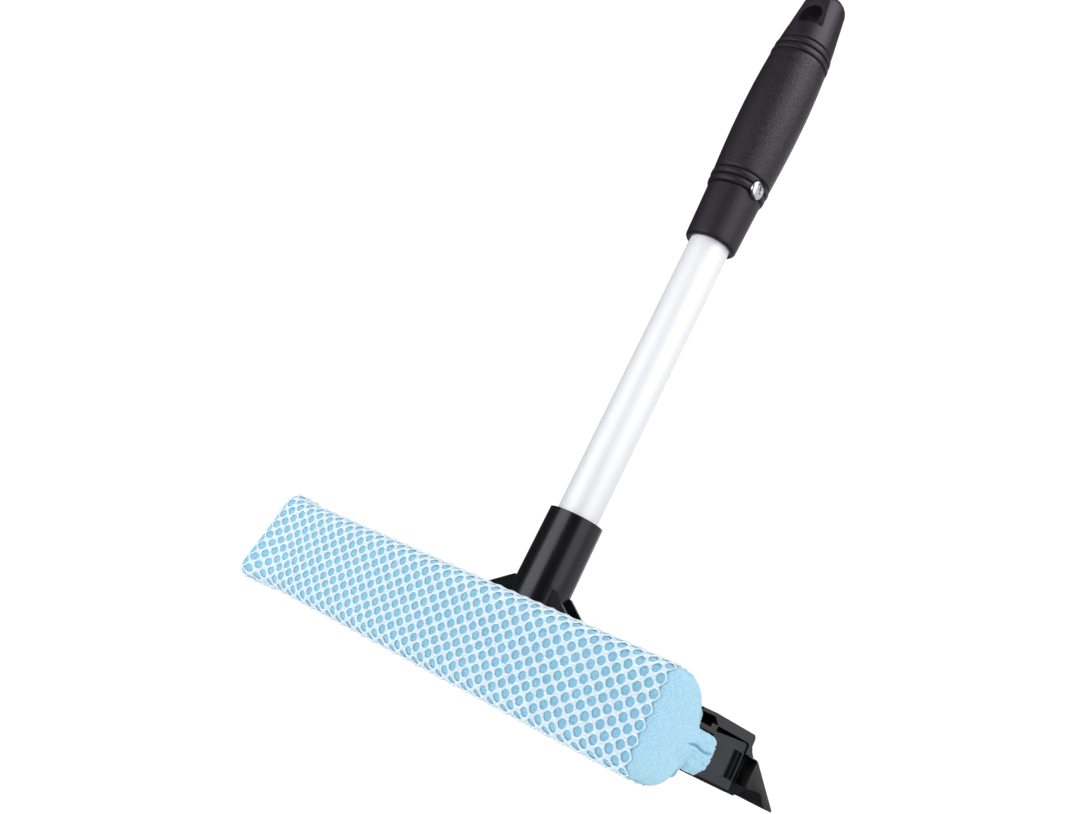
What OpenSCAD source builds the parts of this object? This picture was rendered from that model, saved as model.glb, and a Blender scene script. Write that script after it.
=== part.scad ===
// Window squeegee: a netted sponge on the front of the head, a rubber blade on its back,
// and a short aluminium handle with a moulded grip. +X runs along the head, +Y from the
// sponge to the blade, +Z up the handle. Profiles are drawn about the handle's axis with
// height 0 at the jaw line of the head, and place() puts the origin in the hanging hole.

/* [Head] */
// Length of the head, the clamp bar, the sponge and the blade
head_l = 200; // [170:5:300]
// Distance from the handle's axis to the saddle's front edge, against the sponge
saddle_front = 23; // [22:0.5:26]
// Distance from the handle's axis to the outside of the saddle's back leg
saddle_back = 15; // [14:0.5:18]
// Height of the saddle's upper face
saddle_top = 7; // [6.8:0.1:9]
// Thickness of the saddle's top wall
top_wall = 3.4; // [2.5:0.1:4.2]
// Thickness of the back leg
leg_wall = 2.2; // [1.6:0.1:3]
// How far the back leg flares out at its foot
leg_flare = 4; // [2:0.5:5]
// Thickness of the web between the relief channel and the clamp bar
web_wall = 4; // [2.5:0.5:5]
// Distance from the handle's axis to the back of the web
web_back = 10.5; // [9.5:0.5:11.5]
// Thickness of the upper jaw that presses on the sponge's neck
jaw_wall = 1.5; // [1.2:0.1:2]
// Thickness of the skin over the relief channel
channel_skin = 1.2; // [1:0.1:2]

/* [Socket] */
// Length of the handle socket above the saddle
socket_l = 45.9; // [35:1:60]
// Wall of the socket at its rim
socket_wall = 2.65; // [2:0.05:4]
// How much the socket's radius grows from its rim to its base
socket_draft = 0.4; // [0.1:0.1:1.5]
// Thickness of each gusset fin
fin_t = 1.4; // [1:0.1:2.5]
// Distance of each gusset fin from the handle's axis
fin_y = 5.7; // [4:0.1:7]
// Reach of the fins along the head, from the socket's wall
fin_run = 25; // [15:1:35]
// Height of the fins above the saddle
fin_rise = 16.5; // [10:0.5:25]

/* [Handle tube] */
// Outside diameter of the tube
tube_d = 17; // [15:0.5:22]
// Wall of the tube
tube_wall = 0.8; // [0.6:0.1:1.5]
// Radial clearance of the tube in the socket and in the grip
tube_gap = 0.08; // [0.05:0.01:0.3]
// Bare length of tube between the socket and the grip
tube_bare = 124.8; // [80:1:400]
// Length of tube inside the grip
tube_in_grip = 82; // [60:1:85]
// Length of the plugs inside the tube's ends
plug_l = 34; // [28:1:45]
// Radial clearance of the plugs in the tube
plug_gap = 0.05; // [0.02:0.01:0.2]

/* [Grip] */
// Length of the whole grip
grip_l = 123.8; // [118:1:150]
// Diameter of the cuff at the grip's lower end
cuff_d = 22; // [21:0.5:27]
// Diameter of the grip where the lower rings begin
neck_d = 23.4; // [22:0.2:27]
// Diameter of the grip above the lower rings
swell_start_d = 24.8; // [23:0.2:28]
// Largest diameter of the grip
swell_d = 27.2; // [25:0.2:32]
// Diameter of the grip at the foot of the cap
cap_foot_d = 23.4; // [22:0.2:27]
// Diameter of the cap near its top
cap_top_d = 17.4; // [16:0.2:19]
// Radius of the rounded edge at the top of the cap
cap_round = 4.5; // [2:0.5:6]
// Depth of the ring grooves
ring_depth = 0.5; // [0.3:0.1:0.8]
// Width of the ring grooves
ring_w = 1; // [0.6:0.1:1.4]
// Distance between neighbouring ring grooves
ring_pitch = 3.4; // [2.4:0.1:3.6]

/* [Hanging eye] */
// Diameter of the hanging hole
eye_d = 11; // [8:0.2:11]
// Thickness of the cap across its two flats
eye_t = 14; // [10:0.5:15]
// Distance from the top of the grip to the centre of the hanging hole
eye_drop = 13.2; // [12:0.2:14]
// Distance from the hole's centre down to the shelf where the flats begin
eye_shelf = 6; // [5.6:0.1:6]

/* [Clamp bar] */
// Height of the clamp bar from the jaw line down to its underside
bar_drop = 13.7; // [11.4:0.1:16]
// Clearance of the clamp bar inside the saddle
bar_gap = 0.4; // [0.25:0.05:0.6]
// Reach of the lower jaw in front of the clamp bar's block
lower_jaw = 4.8; // [3:0.2:8]
// Thickness of the lower jaw and of the lip under the blade
lip_t = 3.4; // [2.4:0.2:3.8]
// Thickness of the lower jaw's toe
toe_t = 1.5; // [1:0.1:2]
// Reach of the lip under the blade, from the block's back face
lip_reach = 11.5; // [8:0.5:14]

/* [Sponge] */
// Depth of the sponge in front of the saddle
sponge_depth = 25.7; // [20:0.1:45]
// Height of the sponge above the jaw line
sponge_up = 13.4; // [9:0.2:20]
// Height of the sponge below the jaw line
sponge_down = 22.2; // [16:0.2:30]
// Radius of the sponge's front edges
front_round = 5.5; // [2:0.5:6]
// Radius of the sponge's upper shoulder, towards the head
upper_round = 12.6; // [5:0.1:13]
// Radius of the sponge's lower shoulder, towards the head
lower_round = 9.5; // [5:0.1:10]
// Clearance round the sponge's neck in the jaws
neck_gap = 0.6; // [0.3:0.05:0.8]
// Width of the stiffening strip inside the neck's fold
core_w = 8; // [6:0.5:11]
// Thickness of the stiffening strip
core_t = 1; // [0.8:0.1:1.6]
// Clearance between the strip and the foam
core_gap = 0.1; // [0.05:0.05:0.2]
// Thickness of the net
net_t = 0.9; // [0.6:0.1:1.2]
// Clearance between the net and the foam
net_gap = 0.1; // [0.05:0.05:0.3]

/* [Blade] */
// Distance from the handle's axis to the wiping edge
blade_reach = 45.8; // [40:0.2:55]
// Distance from the handle's axis to the corner where the blade's slope begins
slope_start = 23; // [22:0.2:25]
// Distance from the handle's axis to the line where the lip of the blade bends
bend_y = 33.4; // [31:0.2:35]
// Radius of the lip's rounded root at the bend
bend_r = 1.5; // [1.2:0.1:1.8]
// Thickness of the wiping edge
edge_t = 0.7; // [0.5:0.1:1.2]
// Clearance between the blade's body and its bending lip
bend_gap = 0.3; // [0.3:0.05:0.5]
// Radius of the bead along the root that keys the blade to the clamp bar
bead_r = 1.2; // [0.8:0.1:1.4]

/* [Screws] */
// Diameter of the shanks of the handle screws
screw_d = 3.6; // [3:0.1:4.2]
// Diameter of the heads of the handle screws
screw_head_d = 7.8; // [6.5:0.1:9]
// Height of the heads of the handle screws
screw_head_h = 2.3; // [1.8:0.1:3]
// Angle round the grip at which its screw sits, from the head's right end
grip_screw_angle = -13; // [-60:1:60]
// Diameter of the clamp screws
clamp_screw_d = 3; // [2.6:0.1:3.5]
// Diameter of the clamp screws' heads
clamp_head_d = 5.8; // [5:0.1:6.6]
// Outside diameter of the saddle's screw bosses
boss_d = 7; // [6:0.1:8]
// Distance of the outer clamp screws from the head's ends
screw_inset = 20; // [14:1:40]
// Number of clamp screws
screw_count = 4; // [2:1:6]

/* [Hidden] */
$fn = 96;
eps = 0.01;

// Heights up the handle
socket_rim = saddle_top + socket_l;
grip_foot = socket_rim + tube_bare;
grip_top = grip_foot + grip_l;
eye_z = grip_top - eye_drop;
tube_r = tube_d / 2;
tube_top = grip_foot + tube_in_grip;
tube_bore = tube_r - tube_wall;

// Head profile
jaw_top = neck_gap + jaw_wall;
channel_top = saddle_top - channel_skin;
ceiling = saddle_top - top_wall;
leg_in = saddle_back - leg_wall;
web_front = web_back + web_wall;
root_top = -bar_gap;

// Clamp bar profile
block_front = web_back - bar_gap;
block_back = leg_in - bar_gap;
block_top = ceiling - bar_gap;
block_round = 2;
lip_top = lip_t - bar_drop;
toe_top = toe_t - bar_drop;
lip_end = block_back + lip_reach;

// Sponge profile: the neck is what the jaws hold
neck_top = 0;
neck_bottom = toe_top + neck_gap;
neck_mid = (neck_top + neck_bottom) / 2;
neck_end = -block_front - neck_gap;
sponge_back = -saddle_front - neck_gap;
sponge_front = sponge_back - sponge_depth;
neck_round = 2.6;
slit_h = core_t + 2 * core_gap;
core_y = neck_end - 1.6 - core_w;

// Blade profile
root_bottom = lip_top + bend_gap;
root_front = block_back + bar_gap;
blade_bottom = -bar_drop;
slope = (root_top - (blade_bottom + edge_t)) / (blade_reach - slope_start);
bend_z = root_top - slope * (bend_y - slope_start) - bend_r - 0.4;
bead_y = root_front + 2.4;
bead_z = root_bottom + 0.3;

// Screws
screw_span = head_l - 2 * screw_inset;
screw_y = (block_back - block_front) / 2;
boss_bottom = -6;
boss_gap = 0.25;
head_pocket = 2.6;
clamp_head_h = 2;
clamp_head_z = head_pocket - bar_drop;
clamp_tip = ceiling - 1;
screw_gap = 0.02;
socket_screw_z = saddle_top + 24;
ring_low = 24.5;
ring_high = 90;
cap_foot = 100.5;
swell_mid = 64;
grip_screw_z = grip_foot + 26.6;

// Everything is drawn about the jaw line, then moved so that the hanging hole is the origin
module place() {
    translate([0, 0, -eye_z]) children();
}

// Extrudes a profile drawn in Y and Z along the head
module along_head(l) {
    rotate([90, 0, 90]) linear_extrude(l, center = true) children();
}

// One copy at each clamp screw
module at_screws() {
    for (i = [0 : screw_count - 1])
        translate([screw_span * (i / (screw_count - 1) - 0.5), screw_y, 0]) children();
}

module saddle_profile() {
    // top wall, with a rounded edge over the back leg
    polygon([
        [-saddle_front, channel_top + channel_skin - 0.4],
        [-web_front, saddle_top],
        [saddle_back - 2, saddle_top],
        [saddle_back - 2, ceiling],
        [-web_back, ceiling],
        [-web_front, channel_top],
        [-saddle_front, channel_top - 0.4]]);
    translate([saddle_back - 2, saddle_top - 2]) circle(2);
    // back leg and its flared foot
    polygon([
        [leg_in, saddle_top - 2],
        [saddle_back, saddle_top - 2],
        [saddle_back, 3.2],
        [saddle_back + leg_flare * 0.45, 1.3],
        [saddle_back + leg_flare, 0],
        [leg_in, 0]]);
    // web and upper jaw
    translate([-web_front, neck_gap]) square([web_wall, ceiling - neck_gap + eps]);
    translate([-saddle_front, neck_gap]) square([saddle_front - web_back, jaw_wall]);
    translate([-web_front, channel_top - eps]) square([web_wall, saddle_top - channel_top]);
}

// Two gusset fins stand each side of the socket, along the head
module fins() {
    r = tube_r + socket_wall;
    for (side = [-1, 1], y = [-fin_y, fin_y])
        translate([0, y, 0]) rotate([90, 0, 0])
            linear_extrude(fin_t, center = true)
                polygon([
                    [side * (r - 2.5), saddle_top - 0.5],
                    [side * (r + fin_run), saddle_top - 0.5],
                    [side * (r + fin_run), saddle_top + 0.5],
                    [side * (r - 0.6), saddle_top + fin_rise],
                    [side * (r - 2.5), saddle_top + fin_rise]]);
}

module saddle() {
    r = tube_r + tube_gap;
    color("#17171a") place() difference() {
        union() {
            along_head(head_l) saddle_profile();
            translate([0, 0, saddle_top - 0.5])
                cylinder(h = socket_l + 0.5, r1 = tube_r + socket_wall + socket_draft,
                         r2 = tube_r + socket_wall);
            fins();
            at_screws() translate([0, 0, boss_bottom])
                cylinder(h = ceiling - boss_bottom + eps, d = boss_d);
        }
        translate([0, 0, saddle_top]) cylinder(h = socket_l + 1, r = r);
        at_screws() translate([0, 0, boss_bottom - 1])
            cylinder(h = clamp_tip + 1.4 - boss_bottom, d = clamp_screw_d + 2 * screw_gap);
        translate([0, 0, socket_screw_z]) rotate([-90, 0, 0])
            cylinder(h = tube_d + socket_wall, d = screw_d + 2 * screw_gap);
    }
}

module clamp_bar_profile() {
    difference() {
        union() {
            // block with a rounded back edge and a top that falls away to the front
            polygon([
                [-block_front, -bar_drop],
                [block_back, -bar_drop],
                [block_back, block_top - block_round],
                [block_back - block_round, block_top],
                [-block_front, block_top - 1.4]]);
            translate([block_back - block_round, block_top - block_round]) circle(block_round);
            // lip under the blade
            translate([block_back - eps, -bar_drop]) square([lip_reach, lip_t]);
            // toe of the lower jaw
            translate([-block_front - lower_jaw, -bar_drop]) square([lower_jaw + eps, toe_t]);
        }
        translate([bead_y, bead_z]) circle(bead_r + bend_gap);
    }
}

module clamp_bar() {
    color("#1b1b1e") place() difference() {
        along_head(head_l) clamp_bar_profile();
        at_screws() translate([0, 0, boss_bottom - boss_gap])
            cylinder(h = ceiling - boss_bottom + 1, d = boss_d + 2 * boss_gap);
        at_screws() translate([0, 0, -bar_drop - 1])
            cylinder(h = bar_drop + 1, d = clamp_screw_d + 0.4);
        at_screws() translate([0, 0, -bar_drop - 1])
            cylinder(h = head_pocket + 1, d = clamp_head_d + 0.5);
        // two soft moulding hollows down each end face
        for (side = [-1, 1], k = [0, 1])
            translate([side * (head_l / 2 + 1.6), block_back - 2.2 - 3.2 * k, -10])
                cylinder(h = 9.6, r = 2.2);
    }
}

// A pan head with a cross recess, its seat at height 0 and its shank downwards
module pan_screw(shank_d, head_d, head_h, length) {
    difference() {
        union() {
            translate([0, 0, -length]) cylinder(h = length + eps, d = shank_d);
            cylinder(h = head_h * 0.55, d = head_d);
            translate([0, 0, head_h * 0.55])
                cylinder(h = head_h * 0.45, d1 = head_d, d2 = head_d * 0.62);
        }
        for (a = [0, 90])
            rotate([0, 0, a]) translate([-head_d * 0.29, -head_d * 0.06, head_h * 0.45])
                cube([head_d * 0.58, head_d * 0.12, head_h]);
    }
}

module clamp_screws() {
    color("#b9bcc0") place() at_screws() translate([0, 0, clamp_head_z - 0.02])
        mirror([0, 0, 1])
            pan_screw(clamp_screw_d, clamp_head_d, clamp_head_h, clamp_tip - clamp_head_z);
}

// Outline of the foam grown by g all round its wiping body, without its neck
module sponge_body_profile(g) {
    hull() {
        translate([sponge_front + front_round, sponge_up - front_round])
            circle(front_round + g);
        translate([sponge_front + front_round, front_round - sponge_down])
            circle(front_round + g);
        translate([sponge_back - upper_round, sponge_up - upper_round])
            circle(upper_round + g);
        translate([sponge_back - lower_round, lower_round - sponge_down])
            circle(lower_round + g);
    }
}

module sponge_neck_profile() {
    translate([sponge_back - 5, neck_bottom])
        square([neck_end - neck_round - sponge_back + 5, neck_top - neck_bottom]);
    hull() for (z = [neck_bottom + neck_round, neck_top - neck_round])
        translate([neck_end - neck_round, z]) circle(neck_round);
}

module sponge_foam() {
    color("#8fcbe6") place() along_head(head_l) difference() {
        union() {
            sponge_body_profile(0);
            sponge_neck_profile();
        }
        translate([core_y - core_gap, neck_mid - slit_h / 2])
            square([core_w + 2 * core_gap, slit_h]);
    }
}

// The net lies over the foam's front, top and bottom and ends at the jaws
module sponge_net() {
    color("#e6f3fb") place() along_head(head_l) difference() {
        sponge_body_profile(net_gap + net_t);
        sponge_body_profile(net_gap);
        translate([sponge_back - 3, neck_bottom - net_t])
            square([upper_round, neck_top - neck_bottom + 2 * net_t]);
        translate([-saddle_front - net_gap, neck_bottom - net_t])
            square([upper_round, 2 * sponge_down]);
    }
}

// Stiffening strip inside the neck's fold
module neck_strip() {
    color("#d9d9d4") place() along_head(head_l - 8)
        translate([core_y, neck_mid - core_t / 2]) square([core_w, core_t]);
}

// Wire staples that hold the folded neck to the strip
module neck_staples() {
    wire = 0.7;
    crown = 8;
    leg = 2.6;
    color("#c9ccd0") place() for (i = [-3 : 3])
        translate([i * (head_l - 40) / 6, core_y + core_w / 2, neck_mid + core_t / 2 + 0.02]) {
            for (side = [-1, 1])
                translate([side * (crown - wire) / 2, 0, 0]) cylinder(h = leg, d = wire, $fn = 24);
            translate([-crown / 2, -wire / 2, leg - eps]) cube([crown, wire, wire]);
        }
}

// Root and slope of the blade, up to the line where its lip bends
module blade_body() {
    cut = bend_y - bend_r - bend_gap;
    color("#121214") place() union() {
        along_head(head_l) polygon([
            [root_front, root_top],
            [slope_start, root_top],
            [cut, root_top - slope * (cut - slope_start)],
            [cut, root_bottom + 0.6 * (cut - lip_end) / (bend_y - lip_end)],
            [lip_end, root_bottom],
            [root_front, root_bottom]]);
        along_head(head_l) translate([bead_y, bead_z]) circle(bead_r);
    }
}

// Lip of the blade, with a round root on the bending line
module blade_lip() {
    color("#121214") place() along_head(head_l) hull() {
        translate([bend_y, bend_z]) circle(bend_r, $fn = 48);
        translate([blade_reach - 6, blade_bottom]) square([0.5, 1]);
        translate([blade_reach - 0.5, blade_bottom]) square([0.5, edge_t]);
    }
}

module handle_tube() {
    color("#d6d8da") place() difference() {
        translate([0, 0, saddle_top]) cylinder(h = tube_top - saddle_top, d = tube_d);
        translate([0, 0, saddle_top - 1])
            cylinder(h = tube_top - saddle_top + 2, r = tube_bore);
        translate([0, 0, socket_screw_z]) rotate([-90, 0, 0])
            cylinder(h = tube_d, d = screw_d + 2 * screw_gap);
        translate([0, 0, grip_screw_z]) rotate([0, 90, grip_screw_angle])
            cylinder(h = tube_d, d = screw_d + 2 * screw_gap);
    }
}

module plug(z) {
    translate([0, 0, z]) cylinder(h = plug_l, r = tube_bore - plug_gap);
}

// Plug that gives the socket's screw something to bite on
module lower_plug() {
    color("#c8c2b2") place() difference() {
        plug(saddle_top + 4);
        translate([0, -3, socket_screw_z]) rotate([-90, 0, 0])
            cylinder(h = tube_d, d = screw_d + 2 * screw_gap);
    }
}

// Plug that gives the grip's screw something to bite on
module upper_plug() {
    color("#c8c2b2") place() difference() {
        plug(grip_screw_z - plug_l / 2);
        translate([0, 0, grip_screw_z]) rotate([0, 90, grip_screw_angle])
            translate([0, 0, -3]) cylinder(h = tube_d, d = screw_d + 2 * screw_gap);
    }
}

module socket_screw() {
    seat = tube_r + socket_wall + socket_draft * 0.6;
    color("#b9bcc0") place() translate([0, seat, socket_screw_z]) rotate([-90, 0, 0])
        pan_screw(screw_d, screw_head_d, screw_head_h, seat + 2);
}

// Radius of the grip at height h above its foot
function grip_r(h) =
    h < ring_low ? (cuff_d + (neck_d - cuff_d) * h / ring_low) / 2
    : h < swell_mid
        ? (swell_d - (swell_d - swell_start_d) * pow((swell_mid - h) / (swell_mid - ring_low - 5), 2)) / 2
    : h < cap_foot
        ? (swell_d - (swell_d - cap_foot_d) * pow((h - swell_mid) / (cap_foot - swell_mid), 2)) / 2
    : (cap_foot_d + (cap_top_d - cap_foot_d) * (h - cap_foot) / (grip_l - cap_foot)) / 2;

function cap_edge(a) = [
    grip_r(grip_l - cap_round) - cap_round * (1 - cos(a)),
    grip_l - cap_round + cap_round * sin(a)];

module grip_outline() {
    foot_round = 1.4;
    polygon(concat(
        [[0, 0]],
        [for (a = [0 : 15 : 90]) [cuff_d / 2 - foot_round * (1 - sin(a)), foot_round * (1 - cos(a))]],
        [for (h = [4 : 4 : ring_low]) [grip_r(h), h]],
        [for (h = [ring_low : 2.5 : grip_l - cap_round - 1]) [grip_r(h), h]],
        [for (a = [0 : 15 : 90]) cap_edge(a)],
        [[0, grip_l]]));
}

module ring_groove(h) {
    r = grip_r(h);
    translate([r, h]) rotate(45) square(ring_depth * sqrt(2), center = true);
}

module grip() {
    color("#1d1d20") place() difference() {
        translate([0, 0, grip_foot]) rotate_extrude() difference() {
            grip_outline();
            for (k = [0 : 2]) {
                ring_groove(ring_low + k * ring_pitch);
                ring_groove(ring_high + k * ring_pitch);
            }
        }
        // bore for the tube
        translate([0, 0, grip_foot - 1]) cylinder(h = tube_in_grip + 1.2, r = tube_r + tube_gap);
        // two flats and the hanging hole
        for (side = [-1, 1])
            translate([-cap_foot_d, side > 0 ? eye_t / 2 : -eye_t / 2 - cap_foot_d, eye_z - eye_shelf])
                cube([2 * cap_foot_d, cap_foot_d, 2 * eye_drop]);
        translate([0, cap_foot_d, eye_z]) rotate([90, 0, 0])
            cylinder(h = 2 * cap_foot_d, d = eye_d);
        // seat and clearance hole of the grip's screw
        translate([0, 0, grip_screw_z]) rotate([0, 90, grip_screw_angle]) {
            cylinder(h = cap_foot_d, d = screw_d + 2 * screw_gap);
            translate([0, 0, neck_d / 2 - 0.3]) cylinder(h = cap_foot_d, d = screw_head_d + 0.6);
        }
    }
}

module grip_screw() {
    seat = neck_d / 2 - 0.3;
    color("#b9bcc0") place() translate([0, 0, grip_screw_z]) rotate([0, 90, grip_screw_angle])
        translate([0, 0, seat]) rotate([0, 0, 20])
            pan_screw(screw_d, screw_head_d, screw_head_h, seat + 2);
}

saddle();
clamp_bar();
clamp_screws();
sponge_foam();
sponge_net();
neck_strip();
neck_staples();
blade_body();
blade_lip();
handle_tube();
lower_plug();
upper_plug();
socket_screw();
grip();
grip_screw();
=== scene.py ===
"""Looks of a window squeegee: a netted foam sponge and a rubber blade on a black moulded head,
a satin aluminium handle and a moulded grip. Lengths are in millimetres about the head's jaw
line, where the two jaws close on the sponge's neck, and at() takes them to the frame."""

import math

import bmesh
import bpy
from mathutils import Matrix, Vector, kdtree, noise


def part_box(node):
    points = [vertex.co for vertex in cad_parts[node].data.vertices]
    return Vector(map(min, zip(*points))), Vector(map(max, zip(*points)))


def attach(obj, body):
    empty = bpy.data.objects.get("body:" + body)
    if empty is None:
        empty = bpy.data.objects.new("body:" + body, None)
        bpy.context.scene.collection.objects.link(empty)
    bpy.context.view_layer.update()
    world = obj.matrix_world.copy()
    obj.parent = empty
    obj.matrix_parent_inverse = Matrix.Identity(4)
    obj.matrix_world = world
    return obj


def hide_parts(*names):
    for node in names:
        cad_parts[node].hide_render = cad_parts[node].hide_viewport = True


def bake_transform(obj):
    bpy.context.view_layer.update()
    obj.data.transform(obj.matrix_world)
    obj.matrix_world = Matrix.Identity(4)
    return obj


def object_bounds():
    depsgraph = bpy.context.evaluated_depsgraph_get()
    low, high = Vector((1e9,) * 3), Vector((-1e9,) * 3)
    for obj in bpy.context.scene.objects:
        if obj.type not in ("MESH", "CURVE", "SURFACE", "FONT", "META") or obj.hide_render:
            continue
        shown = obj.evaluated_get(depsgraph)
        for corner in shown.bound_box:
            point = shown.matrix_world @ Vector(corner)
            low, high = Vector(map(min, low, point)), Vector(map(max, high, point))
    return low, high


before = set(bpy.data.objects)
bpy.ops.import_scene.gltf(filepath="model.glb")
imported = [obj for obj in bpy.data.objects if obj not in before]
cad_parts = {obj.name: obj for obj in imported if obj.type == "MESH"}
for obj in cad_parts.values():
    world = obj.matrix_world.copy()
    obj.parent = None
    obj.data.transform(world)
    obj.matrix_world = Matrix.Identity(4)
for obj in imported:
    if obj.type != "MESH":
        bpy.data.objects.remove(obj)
cad_low, cad_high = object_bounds()

MM = 0.001
HELD = "handle_and_head"

# ---------------------------------------------------------------- sizes from the frame
bar_low, bar_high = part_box("clamp_bar")
foam_low, foam_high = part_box("sponge_foam")
tube_low, tube_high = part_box("handle_tube")
grip_low, grip_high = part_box("grip")
screw_low, screw_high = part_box("grip_screw")
BAR_DROP = 13.7          # the bar's underside below the jaw line
BAR_SAG = 0.5            # how much lower the visible bar hangs
SPONGE_SAG = 0.4         # how much lower the visible sponge hangs
CAP_DROP = 0.6           # how much lower the visible cap ends
JAW = bar_low.z + BAR_DROP * MM
HALF_HEAD = bar_high.x / MM
SPONGE_FRONT = foam_low.y / MM
SPONGE_TOP = (foam_high.z - JAW) / MM
SPONGE_BOTTOM = (foam_low.z - JAW) / MM - SPONGE_SAG
GRIP_FOOT = (grip_low.z - JAW) / MM
GRIP_LENGTH = (grip_high.z - grip_low.z) / MM


def at(x, y, z):
    """A point in the frame, from millimetres about the jaw line."""
    return Vector((x * MM, y * MM, JAW + z * MM))


# ---------------------------------------------------------------- mesh helpers
def from_sketch(bm):
    """Takes a mesh drawn in millimetres about the jaw line to the frame."""
    bmesh.ops.transform(bm, matrix=Matrix.Translation((0, 0, JAW)) @ Matrix.Scale(MM, 4),
                        verts=bm.verts)


def lathe(outline, steps):
    """Turns an outline of (radius, height) points round the handle's axis."""
    bm = bmesh.new()
    chain = [bm.verts.new((r, 0, z)) for r, z in outline]
    edges = [bm.edges.new(pair) for pair in zip(chain, chain[1:])]
    bmesh.ops.spin(bm, geom=chain + edges, cent=(0, 0, 0), axis=(0, 0, 1), dvec=(0, 0, 0),
                   angle=2 * math.pi, steps=steps, use_merge=True, use_duplicate=False)
    bmesh.ops.remove_doubles(bm, verts=bm.verts, dist=0.0005)
    bmesh.ops.recalc_face_normals(bm, faces=bm.faces)
    return bm


def arc(centre, radius, start, end, steps):
    """Points on an arc, in the sketch plane, from one angle to another in degrees."""
    turn = [math.radians(start + (end - start) * i / steps) for i in range(steps + 1)]
    return [(centre[0] + radius * math.cos(a), centre[1] + radius * math.sin(a)) for a in turn]


def extruded(outlines, x_from, x_to, cuts):
    """Extrudes outlines of (y, z) points along the head, cut across into equal lengths.
    Outlines that share points become one solid. Returns the mesh and its end faces."""
    bm = bmesh.new()
    known = {}

    def corner(point):
        key = (round(point[0], 3), round(point[1], 3))
        if key not in known:
            known[key] = bm.verts.new((x_from, *point))
        return known[key]

    faces = [bm.faces.new([corner(p) for p in outline]) for outline in outlines]
    ends = list(faces)
    moving = faces
    for _ in range(cuts):
        grown = bmesh.ops.extrude_face_region(bm, geom=moving)["geom"]
        verts = [g for g in grown if isinstance(g, bmesh.types.BMVert)]
        bmesh.ops.translate(bm, verts=verts, vec=((x_to - x_from) / cuts, 0, 0))
        if moving is not faces:
            bmesh.ops.delete(bm, geom=[f for f in moving if f.is_valid], context="FACES_ONLY")
        moving = [g for g in grown if isinstance(g, bmesh.types.BMFace)]
    bmesh.ops.recalc_face_normals(bm, faces=bm.faces)
    return bm, [f for f in ends if f.is_valid] + moving


def baked(obj):
    """Applies an object's modifiers to its mesh."""
    graph = bpy.context.evaluated_depsgraph_get()
    mesh = bpy.data.meshes.new_from_object(obj.evaluated_get(graph))
    obj.modifiers.clear()
    obj.data = mesh
    return obj


def new_object(name, bm):
    mesh = bpy.data.meshes.new(name)
    bm.to_mesh(mesh)
    bm.free()
    obj = bpy.data.objects.new(name, mesh)
    bpy.context.scene.collection.objects.link(obj)
    return obj


def cut_away(obj, tool_bm):
    """Cuts a closed tool out of obj."""
    tool = new_object("tool", tool_bm)
    cut = obj.modifiers.new("cut", "BOOLEAN")
    cut.operation, cut.solver, cut.object = "DIFFERENCE", "EXACT", tool
    baked(obj)
    bpy.data.objects.remove(tool)


def soft_edges(obj, width_mm, angle=35, segments=2):
    """Rounds an object's edges the way a mould leaves them."""
    bevel = obj.modifiers.new("edges", "BEVEL")
    bevel.width, bevel.segments = width_mm * MM, segments
    bevel.limit_method, bevel.angle_limit = "ANGLE", math.radians(angle)
    bevel.harden_normals = True
    bevel.use_clamp_overlap = True


def dress(obj, material, body=HELD, nodes=(), sharp=40):
    """Gives a piece its finish and its body, and hides the CAD nodes it stands for."""
    obj.data.materials.clear()
    obj.data.materials.append(material)
    obj.data.shade_smooth()
    obj.data.set_sharp_from_angle(angle=math.radians(sharp))
    if body:
        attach(obj, body)
    if nodes:
        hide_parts(*nodes)
    return obj


def merged_copy(node, name):
    """A copy of a CAD node with its loose triangles joined into flat faces."""
    bm = bmesh.new()
    bm.from_mesh(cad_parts[node].data)
    bmesh.ops.remove_doubles(bm, verts=bm.verts, dist=0.002 * MM)
    bmesh.ops.dissolve_limit(bm, angle_limit=math.radians(1.0), verts=bm.verts, edges=bm.edges,
                             use_dissolve_boundaries=False)
    return new_object(name, bm)


# ---------------------------------------------------------------- material helpers
def linear(code):
    """An sRGB hex colour as linear RGBA."""
    parts = [int(code[i:i + 2], 16) / 255 for i in (1, 3, 5)]
    return (*[p / 12.92 if p <= 0.04045 else ((p + 0.055) / 1.055) ** 2.4 for p in parts], 1.0)


def add(tree, kind, inputs=None, **settings):
    """Adds a node, sets its settings, and sets or links its inputs."""
    node = tree.nodes.new(kind)
    for key, value in settings.items():
        setattr(node, key, value)
    for key, value in (inputs or {}).items():
        socket = node.inputs[key]
        if isinstance(value, bpy.types.NodeSocket):
            tree.links.new(value, socket)
        else:
            socket.default_value = value
    return node


def material(name, **values):
    """A new material, its node tree, its shader and its object coordinates."""
    made = bpy.data.materials.new(name)
    made.use_nodes = True
    tree = made.node_tree
    shader = tree.nodes["Principled BSDF"]
    for key, value in values.items():
        shader.inputs[key.replace("_", " ")].default_value = value
    coords = add(tree, "ShaderNodeTexCoord").outputs["Object"]
    return made, tree, shader, coords


def stretched(tree, coords, scale):
    """Coordinates with a scale of their own along each axis."""
    return add(tree, "ShaderNodeMapping", {"Vector": coords, "Scale": scale}).outputs["Vector"]


def mix_colour(tree, factor, low, high):
    """A colour between two hex colours."""
    node = add(tree, "ShaderNodeMix", data_type="RGBA")
    tree.links.new(factor, node.inputs[0])
    node.inputs[6].default_value = linear(low)
    node.inputs[7].default_value = linear(high)
    return node.outputs[2]


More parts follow.
